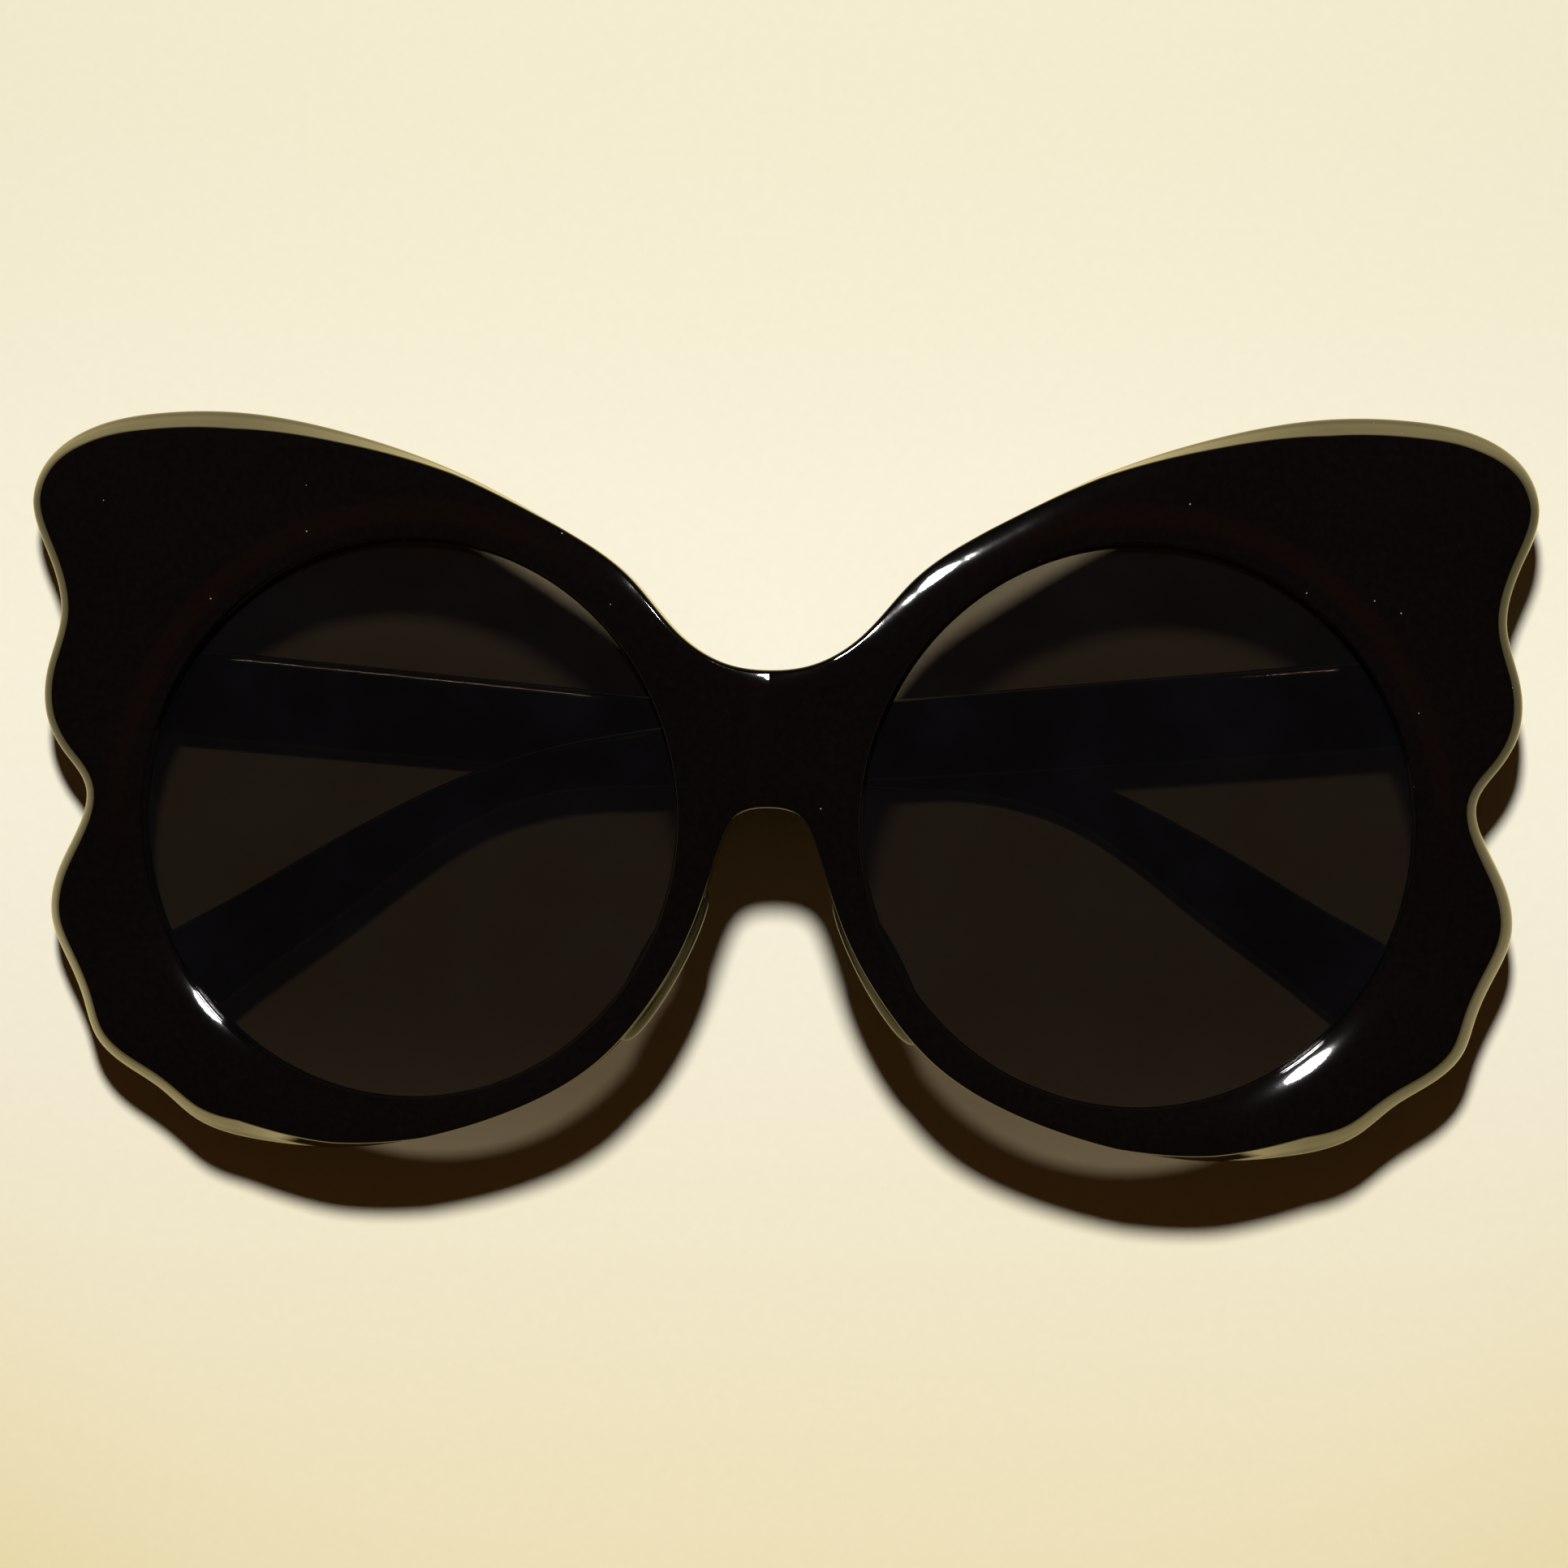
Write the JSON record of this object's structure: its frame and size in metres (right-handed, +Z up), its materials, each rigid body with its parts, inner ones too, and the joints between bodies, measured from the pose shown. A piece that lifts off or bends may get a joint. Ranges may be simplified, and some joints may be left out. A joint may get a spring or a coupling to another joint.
{
  "type": "butterfly sunglasses",
  "caption": "Wrapped butterfly sunglasses with scalloped wing tips and large oval tinted lenses, folded on temples that open on pinned leaf hinges.",
  "frame": {"origin": "middle of the box round the folded part, on the plane that its lower temple rests on", "axes": "+X towards the right temple's hinge, along the width of the front; +Y towards the brow; +Z up, out of the front's face"},
  "size_m": [0.1498, 0.0732, 0.0223],
  "materials": {
    "front": "polished",
    "lens": "polished",
    "nose_pad": "satin",
    "temple": "polished",
    "hinge_metal": "satin",
    "screw_metal": "polished"
  },
  "bodies": {
    "front": {"frame_front": "front", "lens_left": "lens", "lens_right": "lens", "nose_pad_left": "nose_pad", "nose_pad_right": "nose_pad", "front_hinge_leaf_left": "hinge_metal", "front_hinge_leaf_right": "hinge_metal", "front_rivets_left": "screw_metal", "front_rivets_right": "screw_metal", "hinge_screw_left": "screw_metal", "hinge_screw_right": "screw_metal"},
    "left_temple": {"temple_left": "temple", "temple_hinge_leaf_left": "hinge_metal", "temple_rivets_left": "screw_metal"},
    "right_temple": {"temple_right": "temple", "temple_hinge_leaf_right": "hinge_metal", "temple_rivets_right": "screw_metal"}
  },
  "joints": [
    {"name": "left_temple_fold", "type": "hinge", "parent": "front", "child": "left_temple", "pos_m": [-0.06796, 0.00929, 0.00435], "axis": [0, 1, 0], "range_deg": [0, 90.15]},
    {"name": "right_temple_fold", "type": "hinge", "parent": "front", "child": "right_temple", "pos_m": [0.06802, 0.00929, 0.00704], "axis": [0, -1, 0], "range_deg": [0, 92.85]}
  ]
}
